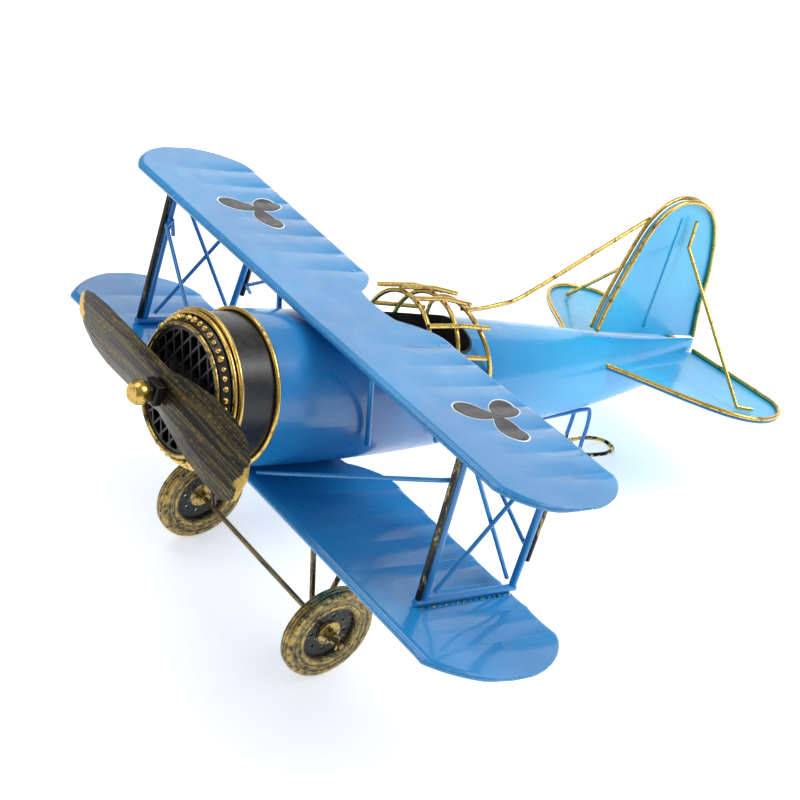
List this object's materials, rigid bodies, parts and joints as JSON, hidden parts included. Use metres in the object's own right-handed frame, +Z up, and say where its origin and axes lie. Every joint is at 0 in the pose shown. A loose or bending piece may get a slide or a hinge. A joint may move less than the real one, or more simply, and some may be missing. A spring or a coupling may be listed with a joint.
{
  "type": "decorative model biplane",
  "caption": "Table-top biplane model of painted sheet metal and bent wire, with a spinning two-blade propeller, rolling wheels, an open caged cockpit and a wire tail skid.",
  "frame": {"origin": "on the floor, midway along and across the model's length and width when it stands on its two wheels and its tail skid", "axes": "+X to the aircraft's port side, +Y towards the tail, +Z up from the floor"},
  "size_m": [0.3152, 0.3136, 0.16],
  "materials": {
    "blue_paint": "glossy sky-blue paint over sheet metal",
    "antique_gold_wire": "gold paint rubbed over black",
    "antique_brass_black": "black paint dry-brushed with brass",
    "black_paint": "satin black paint",
    "bare_steel": "plain turned steel"
  },
  "bodies": {
    "root": {"antenna_wire": "antique_gold_wire", "axle": "antique_brass_black", "cage_side_rails": "antique_gold_wire", "cage_sills": "antique_gold_wire", "cage_top_rails": "antique_gold_wire", "cockpit_liner": "black_paint", "cowl_band": "black_paint", "cowl_front_ring": "antique_gold_wire", "cowl_rear_ring": "antique_gold_wire", "cowl_second_ring": "antique_gold_wire", "cowl_studs": "antique_gold_wire", "engine_cowl": "black_paint", "falling_braces": "blue_paint", "fin": "blue_paint", "fin_rims": "antique_gold_wire", "fin_stays": "antique_gold_wire", "flying_wires": "blue_paint", "front_cabane_struts": "blue_paint", "front_hoop": "antique_gold_wire", "front_legs": "antique_brass_black", "front_strut_rod_left": "antique_brass_black", "front_strut_rod_right": "antique_brass_black", "front_strut_tube_left": "blue_paint", "front_strut_tube_right": "blue_paint", "fuselage_shell": "blue_paint", "grille_mesh": "black_paint", "grille_ring": "antique_gold_wire", "landing_wires": "blue_paint", "lower_rails": "blue_paint", "lower_wing": "blue_paint", "middle_hoop": "antique_gold_wire", "rear_cabane_struts": "blue_paint", "rear_hoop": "antique_gold_wire", "rear_legs": "antique_brass_black", "rear_strut_rod_left": "antique_brass_black", "rear_strut_rod_right": "antique_brass_black", "rear_strut_tube_left": "blue_paint", "rear_strut_tube_right": "blue_paint", "rising_braces": "blue_paint", "shaft_bush": "black_paint", "shaft_crossbar": "black_paint", "split_pins": "antique_brass_black", "tail_skid": "antique_brass_black", "tailplane_left": "blue_paint", "tailplane_right": "blue_paint", "tailplane_rim_left": "antique_gold_wire", "tailplane_rim_right": "antique_gold_wire", "upper_wing": "blue_paint"},
    "propeller": {"propeller": "antique_brass_black", "propeller_spacer": "black_paint", "propeller_boss": "black_paint", "lock_washer": "black_paint", "acorn_nut": "antique_gold_wire", "propeller_shaft": "bare_steel", "shaft_collar": "black_paint"},
    "wheel_left": {"tyre_left": "antique_brass_black", "wheel_disc_left": "antique_brass_black"},
    "wheel_right": {"tyre_right": "antique_brass_black", "wheel_disc_right": "antique_brass_black"}
  },
  "joints": [
    {"name": "propeller_spin", "type": "hinge", "parent": "root", "child": "propeller", "pos_m": [0, -0.12914, 0.12975], "axis": [0, 0.9483, -0.3174], "continuous": true},
    {"name": "wheel_left_spin", "type": "hinge", "parent": "root", "child": "wheel_left", "pos_m": [0.0522, -0.09456, 0.022], "axis": [1, 0, 0], "continuous": true},
    {"name": "wheel_right_spin", "type": "hinge", "parent": "root", "child": "wheel_right", "pos_m": [-0.0522, -0.09456, 0.022], "axis": [1, 0, 0], "continuous": true}
  ]
}
